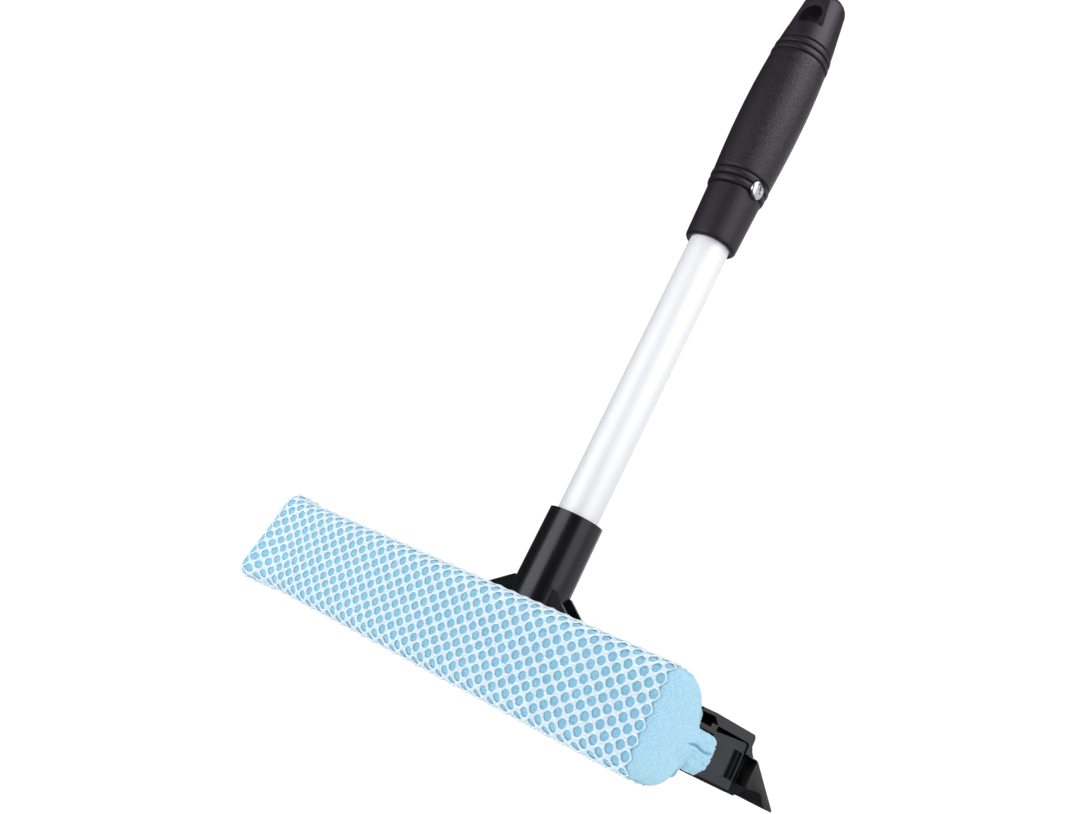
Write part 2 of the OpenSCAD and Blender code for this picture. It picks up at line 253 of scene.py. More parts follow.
def bump(tree, shader, height, strength, depth_mm, under=None):
    """Raises a shader's surface by a height pattern; under is another bump below it."""
    inputs = {"Height": height, "Strength": strength, "Distance": depth_mm * MM}
    if under:
        inputs["Normal"] = under
    node = add(tree, "ShaderNodeBump", inputs)
    tree.links.new(node.outputs["Normal"], shader.inputs["Normal"])
    return node.outputs["Normal"]


def ranged(tree, value, low, high, to_low=0.0, to_high=1.0):
    """A value taken from one range to another, and held at its ends."""
    return add(tree, "ShaderNodeMapRange", {"Value": value, "From Min": low, "From Max": high,
               "To Min": to_low, "To Max": to_high}).outputs["Result"]


# ---------------------------------------------------------------- materials
def glossy_black_abs():
    """Injection-moulded ABS from a polished mould: black, with crisp but slightly wavy
    reflections."""
    made, tree, shader, coords = material("glossy black ABS", Base_Color=linear("#0C0C0F"),
                                          Roughness=0.2, IOR=1.53,
                                          Specular_Tint=(0.92, 0.92, 1.0, 1.0))
    peel = add(tree, "ShaderNodeTexNoise", {"Vector": coords, "Scale": 140.0, "Detail": 2.0})
    bump(tree, shader, peel.outputs["Fac"], 0.12, 0.12)
    wear = add(tree, "ShaderNodeTexNoise", {"Vector": coords, "Scale": 45.0, "Detail": 5.0})
    tree.links.new(ranged(tree, wear.outputs["Fac"], 0.3, 0.75, 0.23, 0.33),
                   shader.inputs["Roughness"])
    return made


def satin_black_pp():
    """Moulded polypropylene with a spark-eroded finish: black, dull and very finely pitted."""
    made, tree, shader, coords = material("satin black PP", Base_Color=linear("#131418"),
                                          Roughness=0.36, IOR=1.49,
                                          Specular_Tint=(0.84, 0.87, 1.0, 1.0))
    pits = add(tree, "ShaderNodeTexNoise", {"Vector": coords, "Scale": 2200.0, "Detail": 3.0})
    low = bump(tree, shader, pits.outputs["Fac"], 0.18, 0.08)
    flow = add(tree, "ShaderNodeTexNoise", {"Vector": coords, "Scale": 90.0, "Detail": 2.0})
    bump(tree, shader, flow.outputs["Fac"], 0.2, 0.2, low)
    tree.links.new(ranged(tree, flow.outputs["Fac"], 0.3, 0.7, 0.31, 0.42),
                   shader.inputs["Roughness"])
    return made


def grained_black_pp():
    """Grip moulding: a leather-like grain between the two sets of rings, a smooth satin cuff
    and cap, and the parting line of the mould down both sides."""
    made, tree, shader, coords = material("grained black PP", Base_Color=linear("#1A181D"),
                                          Roughness=0.42, IOR=1.49,
                                          Specular_Tint=(0.97, 0.9, 1.0, 1.0))
    where = add(tree, "ShaderNodeSeparateXYZ", {"Vector": coords}).outputs
    foot = grip_low.z
    low = ranged(tree, where["Z"], foot + (RING_LOW + 7.4) * MM, foot + (RING_LOW + 8.2) * MM)
    high = ranged(tree, where["Z"], foot + (RING_HIGH - 0.8) * MM, foot + (RING_HIGH - 1.6) * MM)
    zone = add(tree, "ShaderNodeMath", {0: low, 1: high}, operation="MULTIPLY").outputs[0]
    grain = add(tree, "ShaderNodeTexVoronoi", {"Vector": coords, "Scale": 1800.0},
                feature="DISTANCE_TO_EDGE")
    fine = add(tree, "ShaderNodeTexNoise", {"Vector": coords, "Scale": 1900.0, "Detail": 1.5})
    both = add(tree, "ShaderNodeMath", {0: grain.outputs["Distance"], 1: fine.outputs["Fac"]},
               operation="ADD").outputs[0]
    masked = add(tree, "ShaderNodeMath", {0: both, 1: zone}, operation="MULTIPLY").outputs[0]
    under = bump(tree, shader, masked, 0.8, 0.22)
    turn = math.radians(SEAM_ANGLE)
    across = add(tree, "ShaderNodeVectorMath", {0: coords, 1: (-math.sin(turn), math.cos(turn), 0)},
                 operation="DOT_PRODUCT").outputs["Value"]
    near = add(tree, "ShaderNodeMath", {0: across}, operation="ABSOLUTE").outputs[0]
    seam = ranged(tree, near, 0.05 * MM, 0.28 * MM, 1.0, 0.0)
    bump(tree, shader, seam, 0.8, 0.16, under)
    tree.links.new(ranged(tree, zone, 0.0, 1.0, 0.46, 0.33), shader.inputs["Roughness"])
    return made


def satin_aluminium():
    """Drawn aluminium tube, etched and clear anodised: pale, so only part metallic, with faint
    draw lines along it."""
    made, tree, shader, coords = material("satin anodised aluminium",
                                          Base_Color=linear("#F1F1F4"), Metallic=0.35,
                                          Roughness=0.55)
    lines = add(tree, "ShaderNodeTexNoise",
                {"Vector": stretched(tree, coords, (2600.0, 2600.0, 26.0)), "Scale": 1.0,
                 "Detail": 3.0})
    bump(tree, shader, lines.outputs["Fac"], 0.08, 0.05)
    tree.links.new(ranged(tree, lines.outputs["Fac"], 0.3, 0.7, 0.5, 0.6),
                   shader.inputs["Roughness"])
    return made


def zinc_plated_steel():
    """Bright zinc plate on cold-headed steel: a mirror with soft clouding."""
    made, tree, shader, coords = material("zinc-plated steel", Base_Color=linear("#DDDEE0"),
                                          Metallic=1.0, Roughness=0.2)
    clouds = add(tree, "ShaderNodeTexNoise", {"Vector": coords, "Scale": 700.0, "Detail": 3.0})
    bump(tree, shader, clouds.outputs["Fac"], 0.1, 0.05)
    tree.links.new(ranged(tree, clouds.outputs["Fac"], 0.3, 0.7, 0.14, 0.28),
                   shader.inputs["Roughness"])
    return made


def blue_foam():
    """Open-cell polyurethane foam: matt light blue, with cells of about half a millimetre
    so that it looks finely speckled. All but the right cut end carry painted shade: a deeper,
    darker blue for the shade inside the holes of the net."""
    made, tree, shader, coords = material("light blue PU foam", Roughness=0.95,
                                          Subsurface_Weight=0.25, Subsurface_Scale=0.6 * MM)
    shader.inputs["Subsurface Radius"].default_value = (1.0, 1.6, 2.2)
    shader.inputs["Sheen Weight"].default_value = 0.15
    shader.inputs["Specular IOR Level"].default_value = 0.2
    cells = add(tree, "ShaderNodeTexVoronoi", {"Vector": coords, "Scale": 2300.0})
    clumps = add(tree, "ShaderNodeTexNoise", {"Vector": coords, "Scale": 2400.0, "Detail": 2.0})
    pores = ranged(tree, cells.outputs["Distance"], 0.12, 0.42)
    blend = add(tree, "ShaderNodeMath", {0: pores, 1: ranged(tree, clumps.outputs["Fac"], 0.3,
                0.6)}, operation="MULTIPLY").outputs[0]
    along = add(tree, "ShaderNodeSeparateXYZ", {"Vector": coords}).outputs["X"]
    # Painted shade: every face but the right cut end gets more saturation and less value, standing
    # in for the shade inside the net's holes.
    unshaded_cut_end = ranged(tree, along, (HALF_HEAD - 0.8) * MM, (HALF_HEAD + 0.2) * MM)
    shade = add(tree, "ShaderNodeHueSaturation",
                {"Color": mix_colour(tree, blend, "#8ABFD8", "#B2D7E9"),
                 "Saturation": ranged(tree, unshaded_cut_end, 0.0, 1.0, 1.22, 1.0),
                 "Value": ranged(tree, unshaded_cut_end, 0.0, 1.0, 0.92, 1.0)})
    tree.links.new(shade.outputs["Color"], shader.inputs["Base Color"])
    under = bump(tree, shader, cells.outputs["Distance"], 0.4, 0.2)
    bump(tree, shader, clumps.outputs["Fac"], 0.3, 0.2, under)
    return made


def knitted_nylon():
    """Warp-knitted nylon net: fine white filament yarn, brightest on the thread round each
    hole, with stitches that run along the pattern's own map."""
    made, tree, shader, coords = material("white-blue nylon net", Roughness=0.6)
    shader.inputs["Sheen Weight"].default_value = 0.25
    shader.inputs["Subsurface Weight"].default_value = 0.15
    shader.inputs["Subsurface Scale"].default_value = 0.5 * MM
    flat = add(tree, "ShaderNodeUVMap", uv_map="knit").outputs["UV"]
    stitches = add(tree, "ShaderNodeTexWave",
                   {"Vector": flat, "Scale": 0.35, "Distortion": 6.0, "Detail": 2.0,
                    "Detail Scale": 1.6},
                   wave_type="BANDS", bands_direction="DIAGONAL")
    fuzz = add(tree, "ShaderNodeTexNoise", {"Vector": coords, "Scale": 3000.0, "Detail": 3.0})
    rim = add(tree, "ShaderNodeAttribute", attribute_name="rim").outputs["Fac"]
    light = add(tree, "ShaderNodeMath", {0: rim, 1: stitches.outputs["Fac"], 2: 0.12},
                operation="MULTIPLY_ADD").outputs[0]
    tree.links.new(mix_colour(tree, light, "#C6DDEB", "#EAF5FB"), shader.inputs["Base Color"])
    under = bump(tree, shader, stitches.outputs["Fac"], 0.45, 0.16)
    bump(tree, shader, fuzz.outputs["Fac"], 0.35, 0.08, under)
    return made


def black_rubber():
    """Extruded EPDM: black with a faint bloom and die lines along the blade."""
    made, tree, shader, coords = material("black EPDM rubber", Base_Color=linear("#131315"),
                                          Roughness=0.45, IOR=1.5)
    lines = add(tree, "ShaderNodeTexNoise",
                {"Vector": stretched(tree, coords, (12.0, 900.0, 900.0)), "Scale": 1.0,
                 "Detail": 4.0})
    under = bump(tree, shader, lines.outputs["Fac"], 0.25, 0.12)
    dust = add(tree, "ShaderNodeTexNoise", {"Vector": coords, "Scale": 260.0, "Detail": 4.0})
    bump(tree, shader, dust.outputs["Fac"], 0.15, 0.15, under)
    tree.links.new(mix_colour(tree, ranged(tree, dust.outputs["Fac"], 0.45, 0.75), "#111113",
                              "#1D1D20"), shader.inputs["Base Color"])
    tree.links.new(ranged(tree, dust.outputs["Fac"], 0.3, 0.7, 0.38, 0.5),
                   shader.inputs["Roughness"])
    return made


def natural_plastic(name, low, high):
    """Unpigmented moulded plastic: milky, slightly see-through, with flow marks."""
    made, tree, shader, coords = material(name, Roughness=0.45, IOR=1.5, Subsurface_Weight=0.2,
                                          Subsurface_Scale=1.0 * MM)
    flow = add(tree, "ShaderNodeTexNoise", {"Vector": coords, "Scale": 160.0, "Detail": 3.0})
    tree.links.new(mix_colour(tree, flow.outputs["Fac"], low, high), shader.inputs["Base Color"])
    bump(tree, shader, flow.outputs["Fac"], 0.2, 0.1)
    return made


def white_floor():
    """White paper sweep, bright enough behind the object to read as pure white."""
    made, tree, shader, _ = material("white paper sweep", Roughness=0.9,
                                     Base_Color=linear("#E9EAEC"), Emission_Strength=0.3)
    shader.inputs["Emission Color"].default_value = linear("#FFFFFF")
    glow = add(tree, "ShaderNodeEmission", {"Color": linear("#FFFFFF"), "Strength": 1.05})
    ray = add(tree, "ShaderNodeLightPath").outputs["Is Camera Ray"]
    both = add(tree, "ShaderNodeMixShader", {0: ray, 1: shader.outputs[0], 2: glow.outputs[0]})
    tree.links.new(both.outputs[0], tree.nodes["Material Output"].inputs["Surface"])
    return made


# ---------------------------------------------------------------- grip
RING_LOW, RING_HIGH, RING_PITCH = 24.5, 90.0, 3.4
RING_DEPTH, RING_HALF = 0.62, 0.3
CUFF_R, NECK_R, SWELL_START_R, SWELL_R = 11.0, 11.7, 12.4, 13.6
SWELL_AT, CAP_FOOT, CAP_FOOT_R, CAP_TOP_R, CAP_ROUND = 64.0, 100.5, 11.7, 8.7, 6.0
EYE_DROP, EYE_R, EYE_SHELF, EYE_HALF = 13.2, 5.5, 6.0, 7.0
BEVEL_EYE = 0.35         # rounding of the eye's edges
SEAM_ANGLE = -9.0
SCREW_ANGLE = -13.0
SCREW_TILT = -2.0
SCREW_SEAT_R = 11.4      # from the grip's axis to the seat of its screw
TUBE_GAP, TUBE_WALL = 0.08, 0.8


def grip_radius(h):
    """Radius of the grip at a height above its foot, without its ring grooves."""
    if h < RING_LOW:
        return CUFF_R + (NECK_R - CUFF_R) * h / RING_LOW
    if h < SWELL_AT:
        drop = (SWELL_AT - h) / (SWELL_AT - RING_LOW - 5)
        return SWELL_R - (SWELL_R - SWELL_START_R) * drop ** 2
    if h < CAP_FOOT:
        drop = (h - SWELL_AT) / (CAP_FOOT - SWELL_AT)
        return SWELL_R - (SWELL_R - CAP_FOOT_R) * drop ** 2
    return CAP_FOOT_R + (CAP_TOP_R - CAP_FOOT_R) * (h - CAP_FOOT) / (GRIP_LENGTH - CAP_FOOT)


def ring_relief(h):
    """Three narrow grooves in each set, with round ribs between them."""
    total = 0.0
    for start in (RING_LOW, RING_HIGH):
        for k in range(3):
            total -= RING_DEPTH * math.exp(-((h - start - k * RING_PITCH) / RING_HALF) ** 2)
        rib = (h - start) / RING_PITCH
        if 0 < rib < 2:
            total += 0.35 * (1 - (2 * (rib % 1) - 1) ** 2)
    return total


def grip_outline():
    """The turned outline of the grip, from the bottom of its bore to the middle of its cap."""
    bore = (tube_high.x - tube_low.x) / 2 / MM + TUBE_GAP
    bore_top = (tube_high.z - grip_low.z) / MM + 0.2
    foot_round = 1.4
    points = [(0.0, bore_top), (bore, bore_top), (bore, 0.6), (bore + 0.6, 0.0)]
    points += [(CUFF_R - foot_round + x, foot_round + y)
               for x, y in arc((0, 0), foot_round, -90, 0, 6)]
    h = 3.0
    while h < GRIP_LENGTH - CAP_ROUND - 1:
        points.append((grip_radius(h) + ring_relief(h), h))
        near_rings = any(start - 3 < h < start + 10 for start in (RING_LOW, RING_HIGH))
        h += 0.2 if near_rings else 1.5
    top = GRIP_LENGTH - CAP_DROP - CAP_ROUND
    points += arc((grip_radius(top) - CAP_ROUND, top), CAP_ROUND, 0, 80, 8)
    points.append((0.0, GRIP_LENGTH - CAP_DROP + 0.1))
    return [(r, GRIP_FOOT + z) for r, z in points]


def grip_screw_seat():
    """The seat of the grip's screw, with its axis along the head's length."""
    turn = math.radians(SCREW_ANGLE)
    height = (screw_low.z + screw_high.z) / 2 / MM - JAW / MM
    seat = (SCREW_SEAT_R * math.cos(turn), SCREW_SEAT_R * math.sin(turn), height)
    return (Matrix.Translation(seat)
            @ Matrix.Rotation(math.radians(SCREW_TILT), 4, "Z")
            @ Matrix.Rotation(math.pi / 2, 4, "Y"))


def build_grip(finish):
    """The turned grip, with the two flats and the hanging hole of its eye and a screw seat."""
    bm = lathe(grip_outline(), 112)
    from_sketch(bm)
    grip = new_object("moulded_grip", bm)
    eye = (grip_high.z - JAW) / MM - EYE_DROP
    for side in (-1, 1):
        block = bmesh.new()
        bmesh.ops.create_cube(block, size=1.0)
        bmesh.ops.scale(block, vec=(40, 20, 30), verts=block.verts)
        bmesh.ops.translate(block, vec=(0, side * (EYE_HALF + 10), eye - EYE_SHELF + 15),
                            verts=block.verts)
        from_sketch(block)
        cut_away(grip, block)
    pin = bmesh.new()
    bmesh.ops.create_cone(pin, cap_ends=True, segments=48, radius1=EYE_R, radius2=EYE_R, depth=40)
    bmesh.ops.rotate(pin, cent=(0, 0, 0), matrix=Matrix.Rotation(math.pi / 2, 3, "X"),
                     verts=pin.verts)
    bmesh.ops.translate(pin, vec=(0, 0, eye), verts=pin.verts)
    from_sketch(pin)
    cut_away(grip, pin)
    seat = bmesh.new()
    bmesh.ops.create_cone(seat, cap_ends=True, segments=40, radius1=4.2, radius2=4.5, depth=6)
    bmesh.ops.transform(seat, matrix=grip_screw_seat() @ Matrix.Translation((0, 0, 3.05)),
                        verts=seat.verts)
    from_sketch(seat)
    cut_away(grip, seat)
    soften_cuts(grip, eye)
    return dress(grip, finish, nodes=["grip"], sharp=50)


def soften_cuts(grip, eye):
    """Rounds the edges of the flats, the shelf and the hanging hole."""
    bm = bmesh.new()
    bm.from_mesh(grip.data)
    shelf = (eye - EYE_SHELF) * MM + JAW
    picked = []
    for edge in bm.edges:
        if not edge.is_manifold or edge.calc_face_angle(0) < math.radians(35):
            continue
        middle = (edge.verts[0].co + edge.verts[1].co) / 2
        on_flat = all(abs(abs(v.co.y) - EYE_HALF * MM) < 0.01 * MM for v in edge.verts)
        on_shelf = all(abs(v.co.z - shelf) < 0.01 * MM for v in edge.verts)
        if middle.z > shelf - 0.1 * MM and (on_flat or on_shelf):
            picked.append(edge)
    bmesh.ops.bevel(bm, geom=picked, offset=BEVEL_EYE * MM, offset_type="OFFSET", affect="EDGES",
                    segments=3, profile=0.5, material=-1, clamp_overlap=True)
    bm.to_mesh(grip.data)
    bm.free()


# ---------------------------------------------------------------- screws and tube
def build_pan_screw(name, finish, place, node):
    """A pan head with a cross recess, on the seat that place gives."""
    head_r, head_h = 3.9, 2.3
    outline = [(0.0, -13.0), (1.2, -12.0), (1.8, -10.0), (1.8, 0.0), (head_r - 0.2, 0.0),
               (head_r, 0.25), (head_r, head_h * 0.42)]
    outline += [(head_r * math.cos(a), head_h * 0.42 + head_h * 0.58 * math.sin(a))
                for a in (math.radians(d) for d in range(10, 90, 10))]
    outline.append((0.0, head_h))
    screw = new_object(name, lathe(outline, 64))
    for turn in (0, 90):
        blade = bmesh.new()
        bmesh.ops.create_cube(blade, size=1.0)
        bmesh.ops.scale(blade, vec=(4.6, 0.95, 3.0), verts=blade.verts)
        bmesh.ops.translate(blade, vec=(0, 0, head_h + 0.1), verts=blade.verts)
        for v in blade.verts:
            if v.co.z < head_h:
                v.co.x *= 0.45
        bmesh.ops.rotate(blade, cent=(0, 0, 0), verts=blade.verts,
                         matrix=Matrix.Rotation(math.radians(turn), 3, "Z"))
        cut_away(screw, blade)
    bm = bmesh.new()
    bm.from_mesh(screw.data)
    bmesh.ops.transform(bm, matrix=place, verts=bm.verts)
    from_sketch(bm)
    bm.to_mesh(screw.data)
    bm.free()
    soft_edges(screw, 0.08, angle=45)
    return dress(screw, finish, nodes=[node], sharp=45)


def build_tube(finish):
    """The tube, open at both ends, with its edges broken."""
    r = (tube_high.x - tube_low.x) / 2 / MM
    low, high, wall = (tube_low.z - JAW) / MM, (tube_high.z - JAW) / MM, TUBE_WALL
    ring = [(r - wall, low + 0.2), (r - wall + 0.2, low), (r - 0.2, low), (r, low + 0.2),
            (r, high - 0.2), (r - 0.2, high), (r - wall + 0.2, high), (r - wall, high - 0.2),
            (r - wall, low + 0.2)]
    bm = lathe(ring, 128)
    from_sketch(bm)
    return dress(new_object("aluminium_tube", bm), finish,
                 nodes=["handle_tube"])


# ---------------------------------------------------------------- head
BAR_INSET = 0.4          # how far the bar's ends lie inside the saddle's
HOLLOW_FLOOR = 1.5       # from the head's end to the floor of the hollows
FRONT_INSET = 1.0        # how far the bar's front is set back
# stretches of the foot whose ends slant: from y, to y, top of the slant, its run
FOOT_SLANTS = ((-16.0, 12.6, -13.2, 0.8), (12.6, 30.0, -10.0, 3.8))


def build_head(abs_finish, bar_finish):
    """The saddle and the clamp bar, taken from the solids, with a mould's edges."""
    saddle = merged_copy("saddle", "moulded_saddle")
    soft_edges(saddle, 0.35)
    dress(saddle, abs_finish, nodes=["saddle"])
    bar = merged_copy("clamp_bar", "moulded_clamp_bar")
    trim_bar(bar)
    soft_edges(bar, 0.3)
    dress(bar, bar_finish, nodes=["clamp_bar"])


def trim_bar(bar):
    """Sets the bar's ends back inside the saddle, slants the ends of its foot and
    sets the depth of the hollows in each end."""
    for v in bar.data.vertices:
        x, y, z = v.co.x / MM, v.co.y / MM, (v.co.z - JAW) / MM
        if abs(x) > HALF_HEAD - 0.1:
            x -= math.copysign(BAR_INSET, x)
        elif abs(x) > HALF_HEAD - 5 and 5.5 < y < 12 and -10.5 < z < 0:
            x = math.copysign(HALF_HEAD - HOLLOW_FLOOR, x)
        if z < -BAR_DROP + 0.1:
            z -= BAR_SAG
        if y < -14:
            y += FRONT_INSET
        v.co = at(x, y, z)
    end, bottom = HALF_HEAD - BAR_INSET, -BAR_DROP - BAR_SAG
    for side in (-1, 1):
        for y_from, y_to, top, run in FOOT_SLANTS:
            drop = top - bottom
            corners = [(end - 1.2 * run, bottom - 0.2 * drop), (end + 0.4 * run, top + 0.4 * drop),
                       (end + 0.4 * run + 1, bottom - 0.2 * drop)]
            wedge = bmesh.new()
            face = wedge.faces.new([wedge.verts.new((side * x, y_from, z)) for x, z in corners])
            grown = bmesh.ops.extrude_face_region(wedge, geom=[face])["geom"]
            verts = [g for g in grown if isinstance(g, bmesh.types.BMVert)]
            bmesh.ops.translate(wedge, verts=verts, vec=(0, y_to - y_from, 0))
            bmesh.ops.recalc_face_normals(wedge, faces=wedge.faces)
            from_sketch(wedge)
            cut_away(bar, wedge)


# ---------------------------------------------------------------- blade
STEP_Y = 22.0            # where the root ends and the free blade starts
SLOPE_Y = 23.0           # where the slope of the blade's top starts
REACH = 45.8             # the blade's edge
ROOT_INSET = 4.5


def wavy(x, y):
    """The small unevenness of an extruded rubber section along its length."""
    return 0.14 * noise.noise(Vector((x * 0.05, y * 0.08, 3.0)))


def build_blade(finish):
    """The whole blade as one skin: root and flap in the jaw, and the lip out to its edge."""
    top, bottom, reach = -0.4, -BAR_DROP, REACH
    slope = (top - (bottom + 0.7)) / (reach - SLOPE_Y)

    def outer(y):
        return top - slope * (y - SLOPE_Y)

    root = [(12.8, top), (15.2, top), (STEP_Y, top), (STEP_Y, -10.0), (12.8, -10.0)]
    flap = [(15.2, top), (15.2, -0.06), (STEP_Y, -0.06), (STEP_Y, top)]
    slope_top = [(SLOPE_Y, top)] + [(y, outer(y)) for y in (26, 29, 31, 32, 33, 34, 35, 37, 40, 43)]
    tip = [(reach - 0.3, outer(reach - 0.3)), (reach, bottom + 0.5), (reach - 0.1, bottom),
           (40.0, bottom)]
    under = [(37.2, -12.4), (35.5, -10.9), (34.5, -10.2), (33.5, -9.75), (32.5, -9.55),
             (31.5, -9.5), (28.0, -9.6), (23.9, -10.0)]
    lip = [(STEP_Y, top)] + slope_top + tip + under + [(STEP_Y, -10.0)]
    inner = HALF_HEAD - ROOT_INSET
    bm, ends = extruded([root, flap, lip], -inner, inner, 60)
    outer_ends = [f for f in ends if f.calc_center_median().y > STEP_Y
                  or f.calc_center_median().z > top]
    left = [f for f in outer_ends if f.calc_center_median().x < 0]
    right = [f for f in outer_ends if f.calc_center_median().x > 0]
    for side, faces in ((-1, left), (1, right)):
        grown = bmesh.ops.extrude_face_region(bm, geom=faces)["geom"]
        verts = [g for g in grown if isinstance(g, bmesh.types.BMVert)]
        bmesh.ops.translate(bm, verts=verts, vec=(side * ROOT_INSET, 0, 0))
        bmesh.ops.delete(bm, geom=faces, context="FACES_ONLY")
    for v in bm.verts:
        if v.co.y > 22.5:
            v.co.z += wavy(v.co.x, v.co.y)
    bmesh.ops.recalc_face_normals(bm, faces=bm.faces)
    from_sketch(bm)
    blade = new_object("rubber_blade", bm)
    soft_edges(blade, 0.25, angle=40)
    baked(blade)
    dress(blade, finish, body=None, nodes=["blade_body", "blade_lip"])
    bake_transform(blade)
    return blade


# ---------------------------------------------------------------- sponge
FRONT_ROUND = 5.5
UPPER_ROUND, LOWER_ROUND = 12.6, 9.5
HALF_EXTRA = 1.5
NECK_SAG = 2.0           # how far the neck droops over the bar's front near the ends
SPONGE_BACK = -23.6
NECK_TOP, NECK_BOTTOM, NECK_END = 0.0, -11.6, -10.7


def wrap_arcs(grow):
    """The corners of the path round the foam, from the upper jaw over the front to the lower
    jaw: centre, radius, and the angles each turns through. Straights join them."""
    f, u, w = FRONT_ROUND, UPPER_ROUND, LOWER_ROUND
    top, bottom, front = SPONGE_TOP, SPONGE_BOTTOM, SPONGE_FRONT
    return [((SPONGE_BACK - u, top - u), u + grow, 0, 90),
            ((front + f, top - f), f + grow, 90, 180),
            ((front + f, bottom + f), f + grow, 180, 270),
            ((SPONGE_BACK - w, bottom + w), w + grow, 270, 360)]


def wrap_path(grow, step=0.5):
    """Closely spaced points along the wrap, with the length up to each."""
    points = []
    for centre, radius, start, end in wrap_arcs(grow):
        count = max(6, int(radius * math.radians(end - start) / step))
        fresh = arc(centre, radius, start, end, count)
        if points:
            last, first = Vector(points[-1]), Vector(fresh[0])
            fill = int((first - last).length / step)
            points += [tuple(last.lerp(first, i / fill)) for i in range(1, fill)]
        points += fresh
    lengths = [0.0]
    for a, b in zip(points, points[1:]):
        lengths.append(lengths[-1] + math.dist(a, b))
    return points, lengths


def foam_outline():
    """The foam's section: the wrapped body and the neck that the jaws hold."""
    body = wrap_path(0.0, 1.5)[0]
    neck = [(SPONGE_BACK + 1.5, NECK_BOTTOM)]
    neck += arc((NECK_END - 2.6, NECK_BOTTOM + 2.6), 2.6, -90, 0, 5)
    neck += arc((NECK_END - 2.6, NECK_TOP - 2.6), 2.6, 0, 90, 5)
    neck += [(SPONGE_BACK + 1.5, NECK_TOP)]
    return body + neck


def left_drift(x, z):
    """How far the loose left end of the cover and its foam is pulled outwards."""
    if x > -84:
        return 0.0
    low = min(1.0, max(0.0, (13 - z) / 34))
    return -(0.3 + 8.0 * low ** 1.3) * ((-84 - x) / 17) ** 2


def corner_lift(x, z):
    """How far the two corners of the cover's left end stand up and hang down."""
    if x > -92:
        return 0.0
    return (0.3 * max(0.0, z - 8) - 0.1 * max(0.0, -6 - z)) * ((-92 - x) / 9) ** 2


def rear_share(y):
    """0 on the front of the sponge, 1 on its shoulders towards the head."""
    return min(1.0, max(0.0, (y + 48) / 8))


def end_bulge(y, z, depth, left):
    """How far the cut end of the foam stands out past its flat end. Depth is the distance
    in from the foam's outline."""
    off_middle = (z - (NECK_TOP + NECK_BOTTOM) / 2) / 5.8
    neck = 2.6 - 0.9 * min(1.0, off_middle ** 2) - HALF_EXTRA
    if y > SPONGE_BACK - 1:
        return neck
    dome = 1 - math.exp(-depth / 3.0)
    if left:
        body = 0.6 * dome
    else:
        body = 0.9 * dome - 2.8 * rear_share(y) * max(0.0, 1 - depth / 3.5) ** 2
    near = min(1.0, max(0.0, (y + 38) / 13)) * min(1.0, max(0.0, 2.2 - 1.2 * abs(off_middle)))
    return body + (neck - body) * near * near * (3 - 2 * near)


def slit_depth(y, z):
    """Depth of the fold line between the neck's two layers, at a cut end."""
    line = -5.6 + 0.35 * math.sin(y * 0.5)
    if not -28 < y < NECK_END - 1:
        return 0.0
    fade = min(1.0, (y + 28) / 6, (NECK_END - 1 - y) / 2)
    return 1.8 * fade * math.exp(-((z - line) / 0.4) ** 2)


def foam_blank():
    """The foam as an even skin of small faces, finer at the ends."""
    half = HALF_HEAD + HALF_EXTRA
    bm, _ = extruded([foam_outline()], -half, half, 1)
    from_sketch(bm)
    foam = new_object("foam_sponge", bm)
    cells = foam.modifiers.new("cells", "REMESH")
    cells.mode, cells.voxel_size = "VOXEL", 1.0 * MM
    baked(foam)
    bm = bmesh.new()
    bm.from_mesh(foam.data)
    for within, back in ((1.4, -60), (0.9, SPONGE_BACK - 4)):
        near = [f for f in bm.faces if abs(f.calc_center_median().x) > (half - within) * MM
                and f.calc_center_median().y > back * MM]
        edges = list({e for f in near for e in f.edges})
        bmesh.ops.subdivide_edges(bm, edges=edges, cuts=1, use_grid_fill=True)
    bmesh.ops.smooth_vert(bm, verts=bm.verts, factor=0.5, use_axis_x=True, use_axis_y=True,
                          use_axis_z=True)
    return foam, bm


def shaped_foam(x, y, z, outline):
    """Moves a point of the blank to the soft, torn shape of the real sponge."""
    half = HALF_HEAD + HALF_EXTRA
    side = 1 if x > 0 else -1
    reach = max(0.0, (abs(x) - half + 6) / 6)
    depth = outline.find((0, y, z))[2]
    rough = noise.noise(Vector((x * 1.3, y * 1.3, z * 1.3)))
    fine = noise.noise(Vector((x * 2.9, y * 2.9, z * 2.9)))
    torn = 0.28 if y > SPONGE_BACK and reach > 0.6 else 0.06
    out = end_bulge(y, z, depth, x < 0) * reach ** 2
    if reach > 0.8:
        out -= slit_depth(y, z)
    drift, lift = left_drift(x, z), corner_lift(x, z)
    if y > -14:
        y += reach * (0.4 + 0.7 * rough + 0.5 * fine)
    if SPONGE_BACK < y < -13.9 and -13 < z < -9.5:
        near_end = min(1.0, max(0.0, (abs(x) - 84) / 6))
        z -= NECK_SAG * near_end * min(1.0, (y - SPONGE_BACK) / 3) + 0.3 * fine * reach
    elif y > SPONGE_BACK and z < -9.5:
        z -= 0.8 * reach + 0.3 * fine * reach
    y += 0.25 * noise.noise(Vector((x * 0.06, y * 0.12, z * 0.12)))
    x += side * out + drift + torn * (rough + fine)
    z += torn * noise.noise(Vector((x * 0.8, z * 0.9, y * 0.9))) + lift
    return at(x, y, z)


def build_foam(finish):
    foam, bm = foam_blank()
    path = wrap_path(0.0)[0]
    outline = kdtree.KDTree(len(path))
    for i, (y, z) in enumerate(path):
        outline.insert((0, y, z), i)
    outline.balance()
    for v in bm.verts:
        v.co = shaped_foam(v.co.x / MM, v.co.y / MM, (v.co.z - JAW) / MM, outline)
    bm.to_mesh(foam.data)
    bm.free()
    dress(foam, finish, nodes=["sponge_foam"], sharp=180)
    return foam


